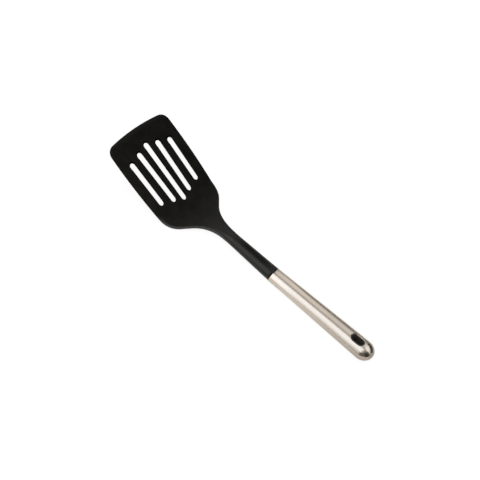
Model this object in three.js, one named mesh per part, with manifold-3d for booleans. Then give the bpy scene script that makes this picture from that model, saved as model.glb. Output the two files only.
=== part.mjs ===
// Slotted kitchen spatula: a nylon blade, neck and tang in one moulding, on a hollow oval steel handle.
// Millimetres, +Z up. The tool lies as it does on a worktop, on its handle, with the blade rising.
// X runs from the handle's end to the blade's front edge, Y across the blade.

import * as THREE from "three";
import Module from "manifold-3d";
import { mergeVertices } from "three/addons/utils/BufferGeometryUtils.js";

// Mid-line of the nylon moulding, measured from the handle's mouth towards the blade
const JOINT_BLEND = 6; // the shaft leaves the mouth square to it and turns to its rise here
const DIP_START = 66.5;
const BEND_START = 101;
const BEND_LENGTH = 22.5;
const HEAD_LENGTH = 211.4;
const SHAFT_RISE = 2.5; // degrees above the handle's axis
const DIP_ANGLE = -12; // degrees at the end of the neck's dip, where the bend starts
const BLADE_RISE = 25; // degrees above the handle's axis

// Plan of the neck and the blade
const FLARE_START = 63.5; // where the straight shaft ends and the neck's fillet starts
const NECK_HALF_WIDTH = 6.95;
const NECK_FILLET = 38;
const SHOULDER_RADIUS = 28;
const SHOULDER_AT = 118.5; // where the shoulder's arc meets the blade's side
const BLADE_HALF_WIDTH = 42.35;
const WIDEST_TO_FRONT = 29; // from the blade's widest place to the middle of its front edge
const SIDE_RADIUS = 630;
const FRONT_RADIUS = 246;
const CORNER_RADIUS = 10.4;

// Thickness of the moulding
const SHAFT_OVAL = 0.69; // height of the shaft's oval over its width
const HEEL_THICKNESS = 3.4;
const TIP_THICKNESS = 1.6;
const THINNING_START = 52.5;
const THINNING_END = 104;
const FLAT_POWER = 10; // power of the blade's squared section, where a plain oval has 2

// Slots in the blade
const SLOT_WIDTH = 6.4;
const FRONT_LAND = 18.4; // from the middle slot to the front edge
const MIDDLE_SLOT_LENGTH = 70.7;
const SLOT_STEP = 9; // each slot outwards is shorter by this
const INNER_SLOT_OFFSET = 12.7;
const OUTER_SLOT_OFFSET = 27.15;
const SLOT_FAN = 1.9; // degrees that the side slots open towards the front

// Steel handle, measured back from its mouth
const HANDLE_LENGTH = 127.4;
const DOME_LENGTH = 11.7;
const END_CAP_LENGTH = 8.9; // the welded end, from its seam to the tip of the dome
const MOUTH_HALF_WIDTH = 8.8;
const BUTT_HALF_WIDTH = 11.35;
const HANDLE_OVAL = 0.7;
const STEEL_WALL = 0.9;
const STEEL_STEP = 0.15; // the steel stands this proud of the shaft

// Hang slot and its liner
const HANG_TO_END = 20.8; // from the slot's middle to the tip of the dome
const HANG_LENGTH = 16.2;
const HANG_WIDTH = 9.5;
const LIP_DEPTH = 3.2; // from the handle's crown to the inner edge of the turned-in lip
const LINER_WALL = 0.8;
const LINER_RECESS = 0.3; // below the handle's surface
const COLLAR_WIDTH = 0.9; // the liner's collar reaches this far beyond its sleeve

// Inside the handle
const CLEARANCE = 0.3;
const TANG_SEAT = 34; // length of the tang that fits the mouth
const SOCKET_DEPTH = 27;
const SPIGOT_SCALE = 0.78; // the tang's end over its seat
const WEB_THICKNESS = 4;
const DRIVER_BORE = 8.4;
const SCREW_SHANK = 3.6;
const SCREW_BITE = 16; // length of thread in the tang
const SCREW_HEAD = 6.8;
const SCREW_HEAD_HEIGHT = 2.6;
const RECESS_WIDTH = 1.2;
const RECESS_SPAN = 4.1;
const WASHER_DIAMETER = 7.6;
const WASHER_THICKNESS = 0.8;
const SEAL_AT = 7;
const SEAL_SECTION = 1.6;
const DOME_SPIGOT = 1.6;
const WELD_GAP = 0.1; // between the tube's rear edge and the dome

const SECTION_SIDES = 32; // points in an oval section
const ROUND_SIDES = 20; // sides of the screw's and washer's round bars

const radians = THREE.MathUtils.degToRad;
const wasm = await Module();
wasm.setup();

// Materials
const nylon = new THREE.MeshStandardMaterial({ color: 0x181715, roughness: 0.55, metalness: 0 });
const satinSteel = new THREE.MeshStandardMaterial({ color: 0xc6bbae, roughness: 0.3, metalness: 1 });
const zincSteel = new THREE.MeshStandardMaterial({ color: 0xa9a9a6, roughness: 0.4, metalness: 1 });
const silicone = new THREE.MeshStandardMaterial({ color: 0x2a2a2a, roughness: 0.8, metalness: 0 });
const coreNylon = new THREE.MeshStandardMaterial({ color: 0x3a3936, roughness: 0.6, metalness: 0 });

/** A closed solid for joining and cutting, from a closed geometry. */
function solid(geometry) {
  const plain = geometry.clone();
  plain.deleteAttribute("normal");
  plain.deleteAttribute("uv");
  const merged = mergeVertices(plain, 1e-5);
  const vertProperties = new Float32Array(merged.attributes.position.array);
  const triVerts = new Uint32Array(merged.index.array);
  return new wasm.Manifold(new wasm.Mesh({ numProp: 3, vertProperties, triVerts }));
}

/** A named mesh from a solid. */
function piece(name, body, material) {
  const { vertProperties, triVerts } = body.getMesh();
  const geometry = new THREE.BufferGeometry();
  geometry.setAttribute("position", new THREE.BufferAttribute(vertProperties, 3));
  geometry.setIndex(new THREE.BufferAttribute(triVerts, 1));
  geometry.computeVertexNormals();
  const mesh = new THREE.Mesh(geometry, material);
  mesh.name = name;
  return mesh;
}

/** Closed skin through rings of points, fanned over each end. Rings run towards +X and turn from +Y to +Z. */
function loft(rings) {
  const sides = rings[0].length;
  const points = rings.flat();
  const middle = (ring) => ring.reduce((sum, p) => sum.add(p), new THREE.Vector3()).divideScalar(sides);
  const first = points.push(middle(rings[0])) - 1;
  const last = points.push(middle(rings[rings.length - 1])) - 1;
  const index = [];
  for (let side = 0; side < sides; side++) {
    const next = (side + 1) % sides;
    index.push(first, next, side);
    const end = (rings.length - 1) * sides;
    index.push(last, end + side, end + next);
    for (let row = 0; row < rings.length - 1; row++) {
      const a = row * sides + side;
      const b = row * sides + next;
      index.push(a, b, b + sides, a, b + sides, a + sides);
    }
  }
  const geometry = new THREE.BufferGeometry().setFromPoints(points);
  geometry.setIndex(index);
  return geometry;
}

/** Points of a squared oval: power 2 is an ellipse, higher powers flatten its faces. */
function ovalPoints(halfWidth, halfHeight, power, place) {
  const bend = (value) => Math.sign(value) * Math.abs(value) ** (2 / power);
  return Array.from({ length: SECTION_SIDES }, (_, k) => {
    const angle = ((k + 0.5) / SECTION_SIDES) * 2 * Math.PI;
    return place(halfWidth * bend(Math.cos(angle)), halfHeight * bend(Math.sin(angle)));
  });
}

/** Evenly spread values from start to end, without the last one. */
function spread(start, end, count) {
  return Array.from({ length: count }, (_, k) => start + ((end - start) * k) / count);
}

/** Point and direction of the moulding's mid-line at a distance from the handle's mouth. */
function midLine(station) {
  const runs = [
    { length: JOINT_BLEND, turn: radians(SHAFT_RISE) },
    { length: DIP_START - JOINT_BLEND, turn: 0 },
    { length: BEND_START - DIP_START, turn: radians(DIP_ANGLE - SHAFT_RISE) },
    { length: BEND_LENGTH, turn: radians(BLADE_RISE - DIP_ANGLE) },
    { length: HEAD_LENGTH - BEND_START - BEND_LENGTH, turn: 0 },
  ];
  const at = { x: 0, z: 0, angle: 0 };
  let left = station;
  for (const run of runs) {
    const length = Math.min(left, run.length);
    const turn = (run.turn * length) / run.length;
    const chord = turn === 0 ? length : (length * Math.sin(turn / 2)) / (turn / 2);
    at.x += chord * Math.cos(at.angle + turn / 2);
    at.z += chord * Math.sin(at.angle + turn / 2);
    at.angle += turn;
    left -= length;
    if (left <= 0) break;
  }
  return at;
}

/** The plan outline's arcs: centres, tangent points and the straight flare between neck and shoulder. */
function planArcs() {
  const along = (from, to, length) => to.clone().sub(from).setLength(length).add(from);
  const side = new THREE.Vector2(HEAD_LENGTH - WIDEST_TO_FRONT, BLADE_HALF_WIDTH - SIDE_RADIUS);
  const reach = SHOULDER_AT - side.x;
  const sideEnd = new THREE.Vector2(SHOULDER_AT, side.y + Math.sqrt(SIDE_RADIUS ** 2 - reach ** 2));
  const shoulder = along(sideEnd, side, SHOULDER_RADIUS);
  // The fillet stops growing where it would touch the shoulder's arc
  const run = shoulder.x - FLARE_START;
  const rise = shoulder.y - NECK_HALF_WIDTH;
  const largestFillet = (run ** 2 + rise ** 2 - SHOULDER_RADIUS ** 2) / (2 * (SHOULDER_RADIUS + rise));
  const fillet = Math.min(NECK_FILLET, largestFillet);
  const neck = new THREE.Vector2(FLARE_START, NECK_HALF_WIDTH + fillet);
  const apart = neck.clone().sub(shoulder);
  const lean = Math.acos(Math.min((fillet + SHOULDER_RADIUS) / apart.length(), 1));
  const flare = -lean - Math.atan2(apart.x, apart.y);
  const outward = new THREE.Vector2(-Math.sin(flare), Math.cos(flare));
  const flareStart = neck.clone().addScaledVector(outward, -fillet);
  const flareEnd = shoulder.clone().addScaledVector(outward, SHOULDER_RADIUS);

  const front = new THREE.Vector2(HEAD_LENGTH - FRONT_RADIUS, 0);
  const toFront = FRONT_RADIUS - CORNER_RADIUS;
  const toSide = SIDE_RADIUS - CORNER_RADIUS;
  const between = side.clone().sub(front);
  const gap = between.length();
  const foot = (toFront ** 2 - toSide ** 2 + gap ** 2) / (2 * gap);
  const height = Math.sqrt(toFront ** 2 - foot ** 2);
  const unit = between.clone().normalize();
  const corner = front.clone().addScaledVector(unit, foot);
  corner.addScaledVector(new THREE.Vector2(-unit.y, unit.x), height);
  const cornerStart = along(side, corner, SIDE_RADIUS);
  const cornerEnd = along(front, corner, FRONT_RADIUS);
  return { side, shoulder, neck, fillet, flare, flareStart, flareEnd, front, corner, cornerStart, cornerEnd };
}

const plan = planArcs();
const shaftEndHalfWidth = MOUTH_HALF_WIDTH - STEEL_STEP;

/** Half width of the shaft before the neck flares. */
function shaftHalfWidth(station) {
  return THREE.MathUtils.lerp(shaftEndHalfWidth, NECK_HALF_WIDTH, Math.min(station / FLARE_START, 1));
}

/** Half width of the moulding in plan. */
function headHalfWidth(station) {
  const arc = (centre, radius, way) => centre.y + way * Math.sqrt(radius ** 2 - (station - centre.x) ** 2);
  if (station <= FLARE_START) return shaftHalfWidth(station);
  if (station <= plan.flareStart.x) return arc(plan.neck, plan.fillet, -1);
  const beyondNeck = station - plan.flareStart.x;
  if (station <= plan.flareEnd.x) return plan.flareStart.y + Math.tan(plan.flare) * beyondNeck;
  if (station <= SHOULDER_AT) return arc(plan.shoulder, SHOULDER_RADIUS, 1);
  if (station <= plan.cornerStart.x) return arc(plan.side, SIDE_RADIUS, 1);
  if (station <= plan.cornerEnd.x) return arc(plan.corner, CORNER_RADIUS, 1);
  return arc(plan.front, FRONT_RADIUS, 1);
}

/** How far the section has changed from the shaft's oval, 0, to the blade's plate, 1. */
function flatness(station) {
  return THREE.MathUtils.smoothstep(station, THINNING_START, THINNING_END);
}

/** Half thickness of the moulding on its mid-line. */
function headHalfThickness(station) {
  const shaft = shaftHalfWidth(station) * SHAFT_OVAL;
  const towardsTip = THREE.MathUtils.clamp((station - THINNING_END) / (HEAD_LENGTH - THINNING_END), 0, 1);
  const blade = THREE.MathUtils.lerp(HEEL_THICKNESS, TIP_THICKNESS, towardsTip) / 2;
  return THREE.MathUtils.lerp(shaft, blade, flatness(station));
}

/** One section of the moulding, square to its mid-line. */
function headRing(station) {
  const { x, z, angle } = midLine(station);
  const power = THREE.MathUtils.lerp(2, FLAT_POWER, flatness(station));
  const place = (y, up) => new THREE.Vector3(x - up * Math.sin(angle), y, z + up * Math.cos(angle));
  return ovalPoints(headHalfWidth(station), headHalfThickness(station), power, place);
}

/** An oval ring of the handle at a distance behind its mouth. */
function handleRing(back, halfWidth, halfHeight) {
  return ovalPoints(halfWidth, halfHeight, 2, (y, z) => new THREE.Vector3(-back, y, z));
}

const domeStart = HANDLE_LENGTH - DOME_LENGTH;
const endSeam = HANDLE_LENGTH - END_CAP_LENGTH;
const hangCentre = HANDLE_LENGTH - HANG_TO_END;
const tubeStations = [...spread(0, domeStart, 4), ...spread(domeStart, endSeam, 3), endSeam];

/** Half width of the handle's outside, tapered and then domed. */
function handleHalfWidth(back) {
  if (back <= domeStart) return THREE.MathUtils.lerp(MOUTH_HALF_WIDTH, BUTT_HALF_WIDTH, back / domeStart);
  const along = (back - domeStart) / DOME_LENGTH;
  return BUTT_HALF_WIDTH * Math.sqrt(Math.max(1 - along ** 2, 0));
}

/** Loft through the handle's outside, or a skin set in from it, at the given distances behind the mouth. */
function handleLoft(stations, inset = 0) {
  const ordered = [...stations].sort((a, b) => b - a);
  return loft(ordered.map((back) => {
    const halfWidth = handleHalfWidth(back);
    return handleRing(back, halfWidth - inset, halfWidth * HANDLE_OVAL - inset);
  }));
}

/** Straight oval bar along the handle's axis. */
function ovalBar(from, to, halfWidth, halfHeight) {
  return loft([handleRing(to, halfWidth, halfHeight), handleRing(from, halfWidth, halfHeight)]);
}

/** Round bar along the handle's axis. */
function roundBar(from, to, diameter) {
  const bar = new THREE.CylinderGeometry(diameter / 2, diameter / 2, to - from, ROUND_SIDES);
  bar.rotateZ(Math.PI / 2);
  return bar.translate(-(from + to) / 2, 0, 0);
}

/** Upright prism with round ends, its length along X, centred on the origin. */
function roundEndedPrism(length, width, height) {
  const straight = Math.max(length - width, 0.1) / 2;
  const shape = new THREE.Shape();
  shape.absarc(straight, 0, width / 2, -Math.PI / 2, Math.PI / 2, false);
  shape.absarc(-straight, 0, width / 2, Math.PI / 2, (3 * Math.PI) / 2, false);
  const prism = new THREE.ExtrudeGeometry(shape, { depth: height, bevelEnabled: false, curveSegments: 8 });
  return prism.translate(0, 0, -height / 2);
}

// Sizes that several pieces share
const mouthBoreHalfWidth = MOUTH_HALF_WIDTH - STEEL_WALL;
const mouthBoreHalfHeight = MOUTH_HALF_WIDTH * HANDLE_OVAL - STEEL_WALL;
const tangHalfWidth = mouthBoreHalfWidth - CLEARANCE;
const tangHalfHeight = mouthBoreHalfHeight - CLEARANCE;
const spigotHalfWidth = tangHalfWidth * SPIGOT_SCALE;
const spigotHalfHeight = tangHalfHeight * SPIGOT_SCALE;
const coreStart = TANG_SEAT + CLEARANCE;
const socketEnd = coreStart + SOCKET_DEPTH;
const tangEnd = socketEnd - CLEARANCE;
const webEnd = socketEnd + WEB_THICKNESS;
const linerLength = HANG_LENGTH - 2 * CLEARANCE;
const linerWidth = HANG_WIDTH - 2 * CLEARANCE;
const collarLength = linerLength + 2 * COLLAR_WIDTH;
const collarWidth = linerWidth + 2 * COLLAR_WIDTH;
const coreEnd = hangCentre - collarLength / 2 - CLEARANCE;
const crown = handleHalfWidth(hangCentre) * HANDLE_OVAL;
const lipInner = crown - LIP_DEPTH;
const tall = 4 * crown;

/** Slots of the blade, as upright prisms in the blade's plane. */
function slotCutters() {
  const { x, z, angle } = midLine(HEAD_LENGTH - FRONT_LAND - MIDDLE_SLOT_LENGTH / 2);
  return [-2, -1, 0, 1, 2].map((place) => {
    const offset = [0, INNER_SLOT_OFFSET, OUTER_SLOT_OFFSET][Math.abs(place)] * Math.sign(place);
    const length = MIDDLE_SLOT_LENGTH - SLOT_STEP * Math.abs(place);
    const cutter = roundEndedPrism(length, SLOT_WIDTH, tall);
    cutter.rotateZ(radians(SLOT_FAN) * Math.sign(place));
    cutter.translate(0, offset, 0);
    cutter.rotateY(-angle);
    return solid(cutter.translate(x, 0, z));
  });
}

/** Nylon blade, neck, shaft and tang. */
function slottedHead() {
  const stations = [
    ...spread(CLEARANCE, FLARE_START, 6),
    ...spread(FLARE_START, plan.flareStart.x, 9),
    ...spread(plan.flareStart.x, plan.flareEnd.x, 3),
    ...spread(plan.flareEnd.x, SHOULDER_AT, 7),
    ...spread(SHOULDER_AT, plan.cornerStart.x, 8),
  ];
  const cornerReach = plan.cornerEnd.x - plan.cornerStart.x;
  const frontReach = HEAD_LENGTH - plan.cornerEnd.x;
  spread(0, Math.PI / 2, 7).forEach((turn) => {
    stations.push(plan.cornerStart.x + cornerReach * Math.sin(turn));
  });
  spread(1, 0, 6).forEach((left) => {
    stations.push(HEAD_LENGTH - frontReach * left ** 2);
  });
  let body = solid(loft(stations.map(headRing)));
  const shoulderOverlap = 1;
  body = body.add(solid(ovalBar(-CLEARANCE - shoulderOverlap, TANG_SEAT, tangHalfWidth, tangHalfHeight)));
  body = body.add(solid(ovalBar(TANG_SEAT - shoulderOverlap, tangEnd, spigotHalfWidth, spigotHalfHeight)));
  const sealFrom = SEAL_AT - CLEARANCE;
  const sealTo = SEAL_AT + SEAL_SECTION + CLEARANCE;
  const depth = SEAL_SECTION + CLEARANCE;
  const floor = solid(ovalBar(sealFrom - 1, sealTo + 1, tangHalfWidth - depth, tangHalfHeight - depth));
  body = body.subtract(solid(ovalBar(sealFrom, sealTo, MOUTH_HALF_WIDTH, MOUTH_HALF_WIDTH)).subtract(floor));
  const pilotFrom = tangEnd - SCREW_BITE - CLEARANCE;
  body = body.subtract(solid(roundBar(pilotFrom, tangEnd + 1, SCREW_SHANK + 2 * CLEARANCE)));
  slotCutters().forEach((cutter) => {
    body = body.subtract(cutter);
  });
  return piece("slotted_head", body, nylon);
}

/** Soft ring in the tang's groove, against the tube's bore. */
function tangSealRing() {
  const to = SEAL_AT + SEAL_SECTION;
  const inner = SEAL_SECTION;
  const outside = solid(ovalBar(SEAL_AT, to, tangHalfWidth, tangHalfHeight));
  const inside = solid(ovalBar(SEAL_AT - 1, to + 1, tangHalfWidth - inner, tangHalfHeight - inner));
  return piece("tang_seal_ring", outside.subtract(inside), silicone);
}

/** Tapered steel tube, open at both ends, with its hang slot's edges turned in. */
function handleTube() {
  const outside = solid(handleLoft(tubeStations));
  const boreRing = (back, halfWidth) => (
    handleRing(back, halfWidth - STEEL_WALL, halfWidth * HANDLE_OVAL - STEEL_WALL)
  );
  const rearOverrun = boreRing(endSeam + 1, handleHalfWidth(endSeam));
  const mouthOverrun = boreRing(-1, MOUTH_HALF_WIDTH);
  const boreRings = [...tubeStations].reverse().map((back) => boreRing(back, handleHalfWidth(back)));
  const bore = solid(loft([rearOverrun, ...boreRings, mouthOverrun]));
  const lipPrism = roundEndedPrism(HANG_LENGTH + 2 * STEEL_WALL, HANG_WIDTH + 2 * STEEL_WALL, tall);
  const lips = solid(lipPrism.translate(-hangCentre, 0, 0)).intersect(outside);
  const between = new THREE.BoxGeometry(2 * HANG_LENGTH, 2 * HANG_LENGTH, 2 * lipInner);
  between.translate(-hangCentre, 0, 0);
  const slot = solid(roundEndedPrism(HANG_LENGTH, HANG_WIDTH, tall).translate(-hangCentre, 0, 0));
  const body = outside.subtract(bore).add(lips.subtract(solid(between))).subtract(slot);
  return piece("handle_tube", body, satinSteel);
}

/** Domed steel end with a short spigot inside the tube. */
function handleEndDome() {
  const seamHalfWidth = handleHalfWidth(endSeam);
  const seam = endSeam + WELD_GAP;
  const turnAt = (back) => Math.asin((back - domeStart) / DOME_LENGTH);
  const nearlyFull = 0.985;
  const turns = [...spread(turnAt(seam), Math.PI / 2, 9), (Math.PI / 2) * nearlyFull];
  const outside = solid(handleLoft(turns.map((turn) => domeStart + DOME_LENGTH * Math.sin(turn))));
  const spigotInset = STEEL_WALL + CLEARANCE;
  const spigotWidth = seamHalfWidth - spigotInset;
  const spigotHeight = seamHalfWidth * HANDLE_OVAL - spigotInset;
  const spigot = solid(ovalBar(endSeam - DOME_SPIGOT, seam + 1, spigotWidth, spigotHeight));
  const hollowWidth = spigotWidth - STEEL_WALL;
  const hollowHeight = spigotHeight - STEEL_WALL;
  const hollowDepth = HANDLE_LENGTH - 2 * STEEL_WALL - seam;
  const hollowTurns = [...spread(0, Math.PI / 2, 6), (Math.PI / 2) * nearlyFull].reverse();
  const hollowRings = hollowTurns.map((turn) => {
    const back = seam + hollowDepth * Math.sin(turn);
    return handleRing(back, hollowWidth * Math.cos(turn), hollowHeight * Math.cos(turn));
  });
  const spigotOverrun = handleRing(endSeam - DOME_SPIGOT - 1, hollowWidth, hollowHeight);
  const hollow = solid(loft([...hollowRings, spigotOverrun]));
  return piece("handle_end_dome", outside.add(spigot).subtract(hollow), satinSteel);
}

/** Tapered nylon wedge that fills the tube behind the tang and takes its spigot. */
function handleCore() {
  let body = solid(handleLoft([coreStart, coreEnd], STEEL_WALL + CLEARANCE));
  const socketWidth = spigotHalfWidth + CLEARANCE;
  const socketHeight = spigotHalfHeight + CLEARANCE;
  body = body.subtract(solid(ovalBar(coreStart - 1, socketEnd, socketWidth, socketHeight)));
  body = body.subtract(solid(roundBar(socketEnd - 1, webEnd + 1, SCREW_SHANK + 2 * CLEARANCE)));
  body = body.subtract(solid(roundBar(webEnd, coreEnd + 1, DRIVER_BORE)));
  return piece("handle_core", body, coreNylon);
}

/** Flat washer under the screw's head. */
function screwWasher() {
  const from = webEnd + CLEARANCE;
  const to = from + WASHER_THICKNESS;
  const disc = solid(roundBar(from, to, WASHER_DIAMETER));
  const hole = solid(roundBar(from - 1, to + 1, SCREW_SHANK + 2 * CLEARANCE));
  return piece("screw_washer", disc.subtract(hole), zincSteel);
}

/** Screw that pulls the tang and the wedge together. */
function tangScrew() {
  const headFrom = webEnd + WASHER_THICKNESS + 2 * CLEARANCE;
  const headTo = headFrom + SCREW_HEAD_HEIGHT;
  const shank = solid(roundBar(tangEnd - SCREW_BITE, headFrom + 1, SCREW_SHANK));
  const head = solid(roundBar(headFrom, headTo, SCREW_HEAD));
  const recess = new THREE.BoxGeometry(SCREW_HEAD_HEIGHT, RECESS_WIDTH, RECESS_SPAN);
  const cross = solid(recess.clone().translate(-headTo, 0, 0));
  const other = solid(recess.clone().rotateX(Math.PI / 2).translate(-headTo, 0, 0));
  return piece("tang_screw", shank.add(head).subtract(cross).subtract(other), zincSteel);
}

/** Nylon sleeve through the hang slot, cut to the handle's curve, held by a collar between the lips. */
function hangSlotLiner() {
  const prism = (length, width, height) => (
    solid(roundEndedPrism(length, width, height).translate(-hangCentre, 0, 0))
  );
  const curve = solid(handleLoft(tubeStations, LINER_RECESS));
  const sleeve = prism(linerLength, linerWidth, tall).intersect(curve);
  const collar = prism(collarLength, collarWidth, 2 * (lipInner - CLEARANCE));
  const hole = prism(linerLength - 2 * LINER_WALL, linerWidth - 2 * LINER_WALL, tall);
  return piece("hang_slot_liner", sleeve.add(collar).subtract(hole), nylon);
}

const tool = new THREE.Group();
tool.add(
  slottedHead(),
  tangSealRing(),
  handleTube(),
  handleEndDome(),
  handleCore(),
  screwWasher(),
  tangScrew(),
  hangSlotLiner(),
);
// The tapered handle lies on the worktop along its whole underside
tool.rotation.y = Math.atan2((BUTT_HALF_WIDTH - MOUTH_HALF_WIDTH) * HANDLE_OVAL, domeStart);

// The origin is the middle of the tool's footprint, on the worktop
const spatula = new THREE.Group();
spatula.add(tool);
spatula.updateMatrixWorld(true);
const extent = new THREE.Box3().setFromObject(spatula, true);
const centre = extent.getCenter(new THREE.Vector3());
tool.position.set(-centre.x, -centre.y, -extent.min.z);

export default spatula;
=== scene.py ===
import logging
import math
from dataclasses import dataclass, replace
from enum import Enum

import bmesh
import bpy
from bmesh.types import BMEdge, BMesh, BMFace, BMVert
from bpy.types import Material, Node, NodeSocket, Object, World
from mathutils import Matrix, Vector


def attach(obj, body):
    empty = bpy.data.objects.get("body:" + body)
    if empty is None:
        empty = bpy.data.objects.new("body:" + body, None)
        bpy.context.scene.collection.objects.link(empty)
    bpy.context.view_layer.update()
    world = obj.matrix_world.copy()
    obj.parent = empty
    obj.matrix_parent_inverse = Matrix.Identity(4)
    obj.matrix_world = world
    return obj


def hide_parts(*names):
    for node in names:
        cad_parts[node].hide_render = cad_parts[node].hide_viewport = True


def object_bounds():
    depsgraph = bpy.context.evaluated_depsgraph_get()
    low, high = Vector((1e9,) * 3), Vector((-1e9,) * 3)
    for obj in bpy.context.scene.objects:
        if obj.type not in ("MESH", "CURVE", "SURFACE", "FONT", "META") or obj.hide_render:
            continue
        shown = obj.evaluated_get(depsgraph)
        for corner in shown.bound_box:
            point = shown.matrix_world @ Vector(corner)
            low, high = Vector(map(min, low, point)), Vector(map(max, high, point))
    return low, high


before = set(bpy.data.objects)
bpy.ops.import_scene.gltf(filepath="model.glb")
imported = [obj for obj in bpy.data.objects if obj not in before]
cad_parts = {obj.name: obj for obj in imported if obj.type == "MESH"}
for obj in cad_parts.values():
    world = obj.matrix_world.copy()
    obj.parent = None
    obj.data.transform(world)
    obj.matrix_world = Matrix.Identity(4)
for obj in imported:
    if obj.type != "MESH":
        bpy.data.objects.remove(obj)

LOG = logging.getLogger("spatula")
CAD_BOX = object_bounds()
BODY = "root"
MM = 0.001  # metres
WELD = 1e-4  # millimetres
UP = (0.0, 0.0, 1.0)
DOWN = (0.0, 0.0, -1.0)
ALONG = (1.0, 0.0, 0.0)
ACROSS = (0.0, 1.0, 0.0)

Pair = tuple[float, float]
Triple = tuple[float, float, float]
Input = Triple | NodeSocket | float
Rim = list[BMEdge]


class Slot(Enum):
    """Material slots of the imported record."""

    BLACK_NYLON = "black_nylon"
    SATIN_STEEL = "satin_steel"


class Layer(Enum):
    """Numbers that a mesh carries for its finish."""

    ACROSS = "across"
    POLISH = "polish"
    # mask of the painted highlight along the blade's front edge
    FRONT_HIGHLIGHT = "front"


class Side(Enum):
    """The two broad sides of a piece, by the sign of their outward Z."""

    TOP = 1
    UNDER = -1


# Small helpers


def clamped(value: float) -> float:
    """A value held between 0 and 1."""
    return min(max(value, 0.0), 1.0)


def smoothstep(value: float, start: float, end: float) -> float:
    """Smooth rise from 0 at start to 1 at end."""
    part = clamped((value - start) / (end - start))
    return part * part * (3 - 2 * part)


def lerp(start: float, end: float, part: float) -> float:
    """Value between start and end."""
    return start + (end - start) * part


def spread(start: float, end: float, count: int) -> list[float]:
    """Evenly spread values from start to end, without the last one."""
    return [lerp(start, end, k / count) for k in range(count)]


def quarter_turn(steps: int) -> list[float]:
    """Angles from 0 to a right angle, both among them."""
    return [math.pi / 2 * k / steps for k in range(steps + 1)]


def direction(angle: float) -> Vector:
    """Unit vector in the plan at an angle from X."""
    return Vector((math.cos(angle), math.sin(angle), 0.0))


def arc_height(at: float, centre: Vector, radius: float) -> float:
    """Height of a circle at a place along X; a negative radius gives its lower half."""
    rise = math.sqrt(max(radius**2 - (at - centre.x) ** 2, 0.0))
    return centre.y + math.copysign(rise, radius)


def made_of(kind: type, geometry: list) -> list:
    """The elements of one kind in an operator's result."""
    return [element for element in geometry if isinstance(element, kind)]


def extrude_rim(bm: BMesh, rim: Rim) -> tuple[list[BMVert], Rim]:
    """Extrudes a loop of edges, in place.

    Args:
        bm: Mesh that the edges are in.
        rim: The loop's edges.

    Returns:
        The new loop's vertices and edges.
    """
    made = bmesh.ops.extrude_edge_only(bm, edges=rim)["geom"]
    verts = made_of(BMVert, made)
    fresh = set(verts)
    return verts, [edge for edge in made_of(BMEdge, made) if fresh.issuperset(edge.verts)]


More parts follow.
